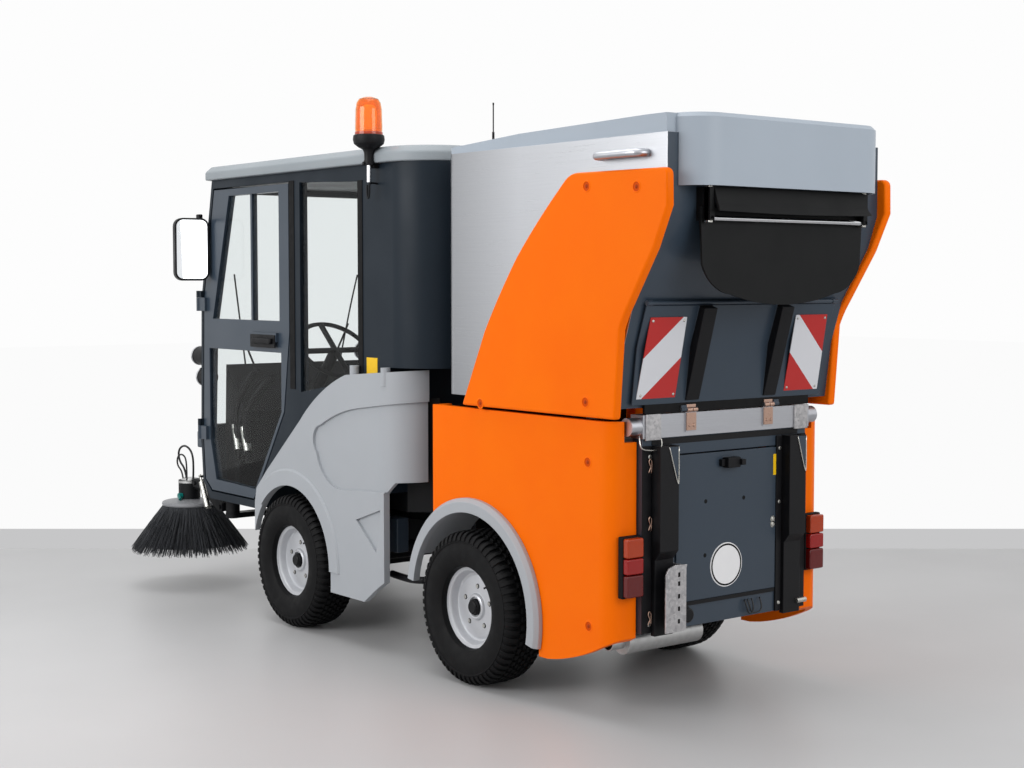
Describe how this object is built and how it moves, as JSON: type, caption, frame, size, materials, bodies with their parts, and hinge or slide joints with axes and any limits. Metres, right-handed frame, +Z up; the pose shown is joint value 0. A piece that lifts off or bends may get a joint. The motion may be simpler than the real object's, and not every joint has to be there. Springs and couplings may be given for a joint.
{
  "type": "articulated street sweeper truck",
  "caption": "Compact articulated street sweeper with a cab and side brushes in front and a tipping hopper over the engine behind.",
  "frame": {"origin": "middle of the sweeper's length and width on the ground", "axes": "+X forward, +Y to the driver's left, +Z up"},
  "size_m": [3.766, 1.4392, 2.179],
  "materials": {
    "tyre": "fine block tread rubber",
    "rim_silver": "silver enamel",
    "chassis_black": "black chassis paint",
    "cab_slate": "satin dark blue-grey paint",
    "orange_body": "moulded orange plastic",
    "grey_moulding": "moulded light grey plastic",
    "hopper_steel": "brushed stainless sheet",
    "beam_aluminium": "mill finish aluminium",
    "galvanised": "galvanised steel",
    "black_plastic": "black moulded plastic",
    "rubber_sheet": "black rubber sheet",
    "bristles": "black bristles",
    "window_glass": "clear window glass",
    "lamp_red": "red lamp lens",
    "beacon_amber": "amber dome",
    "seat_cover": "dark seat fabric",
    "ram_steel": "hard chrome rod"
  },
  "bodies": {
    "rear_frame": {"rear_axle": "chassis_black", "rear_chassis": "chassis_black", "engine_block": "chassis_black", "lower_cover_left": "orange_body", "lower_cover_right": "orange_body", "rear_fender_left": "grey_moulding", "rear_fender_right": "grey_moulding", "tail_frame": "cab_slate", "tail_panel": "cab_slate", "guide_channels": "black_plastic", "tail_lamps": "lamp_red", "hinge_beam": "beam_aluminium", "tow_bracket": "galvanised", "silencer": "galvanised"},
    "front_frame": {"front_axle": "chassis_black", "front_chassis": "chassis_black", "front_wing_left": "grey_moulding", "front_wing_right": "grey_moulding", "cab_frame": "cab_slate", "windscreen": "window_glass", "cab_panes": "window_glass", "cab_roof": "grey_moulding", "dashboard": "black_plastic", "driver_seat": "seat_cover", "headlamps": "black_plastic", "beacon": "beacon_amber", "suction_duct": "black_plastic"},
    "hopper": {"hopper_tank": "hopper_steel", "hopper_roof": "grey_moulding", "hopper_wing_left": "orange_body", "hopper_wing_right": "orange_body", "hopper_shield": "rubber_sheet"},
    "hatch": {"hopper_hatch": "cab_slate"},
    "ram_barrel": {"ram_barrel": "chassis_black"},
    "ram_rod": {"ram_rod": "ram_steel"},
    "suction_nozzle": {"suction_nozzle": "black_plastic"},
    "wheel_front_left": {"tyre_front_left": "tyre", "rim_front_left": "rim_silver"},
    "wheel_front_right": {"tyre_front_right": "tyre", "rim_front_right": "rim_silver"},
    "wheel_rear_left": {"tyre_rear_left": "tyre", "rim_rear_left": "rim_silver"},
    "wheel_rear_right": {"tyre_rear_right": "tyre", "rim_rear_right": "rim_silver"},
    "door_left": {"door_left": "cab_slate", "door_glass_left": "window_glass", "mirror_left": "black_plastic"},
    "brush_bracket_left": {"brush_bracket_left": "chassis_black"},
    "brush_arm_left": {"brush_arm_left": "chassis_black"},
    "brush_head_left": {"brush_head_left": "chassis_black"},
    "brush_left": {"brush_left": "bristles"},
    "door_right": {"door_right": "cab_slate", "door_glass_right": "window_glass", "mirror_right": "black_plastic"},
    "brush_bracket_right": {"brush_bracket_right": "chassis_black"},
    "brush_arm_right": {"brush_arm_right": "chassis_black"},
    "brush_head_right": {"brush_head_right": "chassis_black"},
    "brush_right": {"brush_right": "bristles"}
  },
  "joints": [
    {"name": "articulation", "type": "hinge", "parent": "rear_frame", "child": "front_frame", "pos_m": [0.003, 0, 0.415], "axis": [0, 0, 1], "range_deg": [-35, 35]},
    {"name": "hopper_tip", "type": "hinge", "parent": "rear_frame", "child": "hopper", "pos_m": [-1.587, 0, 1.04], "axis": [0, -1, 0], "range_deg": [0, 50]},
    {"name": "hatch_swing", "type": "hinge", "parent": "hopper", "child": "hatch", "pos_m": [-1.657, 0, 1.397], "axis": [0, 1, 0], "range_deg": [0, 70]},
    {"name": "ram_tilt", "type": "hinge", "parent": "rear_frame", "child": "ram_barrel", "pos_m": [-0.997, 0.2, 0.43], "axis": [0, -1, 0], "range_deg": [0, 0.8]},
    {"name": "ram_extend", "type": "slide", "parent": "ram_barrel", "child": "ram_rod", "axis": [-0.2385, 0, 0.9711], "range_m": [0, 0.384]},
    {"name": "nozzle_lift", "type": "slide", "parent": "front_frame", "child": "suction_nozzle", "axis": [0, 0, 1], "range_m": [-0.12, 0]},
    {"name": "wheel_front_left_roll", "type": "hinge", "parent": "front_frame", "child": "wheel_front_left", "pos_m": [0.467, 0.468, 0.282], "axis": [0, 1, 0], "continuous": true},
    {"name": "wheel_front_right_roll", "type": "hinge", "parent": "front_frame", "child": "wheel_front_right", "pos_m": [0.467, -0.468, 0.282], "axis": [0, 1, 0], "continuous": true},
    {"name": "wheel_rear_left_roll", "type": "hinge", "parent": "rear_frame", "child": "wheel_rear_left", "pos_m": [-0.797, 0.468, 0.282], "axis": [0, 1, 0], "continuous": true},
    {"name": "wheel_rear_right_roll", "type": "hinge", "parent": "rear_frame", "child": "wheel_rear_right", "pos_m": [-0.797, -0.468, 0.282], "axis": [0, 1, 0], "continuous": true},
    {"name": "door_left_swing", "type": "hinge", "parent": "front_frame", "child": "door_left", "pos_m": [1.345, 0.512, 1.064], "axis": [0, 0, -1], "range_deg": [0, 65]},
    {"name": "brush_left_swing", "type": "hinge", "parent": "front_frame", "child": "brush_bracket_left", "pos_m": [1.203, 0.42, 0.426], "axis": [0, 0, 1], "range_deg": [0, 20]},
    {"name": "brush_left_lift", "type": "hinge", "parent": "brush_bracket_left", "child": "brush_arm_left", "pos_m": [1.263, 0.42, 0.418], "axis": [0, 1, 0], "range_deg": [0, 36]},
    {"name": "brush_left_level", "type": "hinge", "parent": "brush_arm_left", "child": "brush_head_left", "pos_m": [1.515, 0.42, 0.505], "axis": [0, 1, 0], "range_deg": [-36, 0]},
    {"name": "brush_left_spin", "type": "hinge", "parent": "brush_head_left", "child": "brush_left", "pos_m": [1.603, 0.44, 0.409], "axis": [0, 0, 1], "continuous": true},
    {"name": "door_right_swing", "type": "hinge", "parent": "front_frame", "child": "door_right", "pos_m": [1.345, -0.512, 1.064], "axis": [0, 0, 1], "range_deg": [0, 65]},
    {"name": "brush_right_swing", "type": "hinge", "parent": "front_frame", "child": "brush_bracket_right", "pos_m": [1.203, -0.42, 0.426], "axis": [0, 0, -1], "range_deg": [0, 20]},
    {"name": "brush_right_lift", "type": "hinge", "parent": "brush_bracket_right", "child": "brush_arm_right", "pos_m": [1.263, -0.42, 0.418], "axis": [0, 1, 0], "range_deg": [0, 36]},
    {"name": "brush_right_level", "type": "hinge", "parent": "brush_arm_right", "child": "brush_head_right", "pos_m": [1.515, -0.42, 0.505], "axis": [0, 1, 0], "range_deg": [-36, 0]},
    {"name": "brush_right_spin", "type": "hinge", "parent": "brush_head_right", "child": "brush_right", "pos_m": [1.603, -0.44, 0.409], "axis": [0, 0, 1], "continuous": true}
  ],
  "couplings": [
    {"joint": "ram_tilt", "follows": "hopper_tip", "ratio": 0.015},
    {"joint": "ram_extend", "follows": "hopper_tip", "m_per_rad": 0.438},
    {"joint": "brush_left_level", "follows": "brush_left_lift", "ratio": -1},
    {"joint": "brush_right_level", "follows": "brush_right_lift", "ratio": -1}
  ]
}
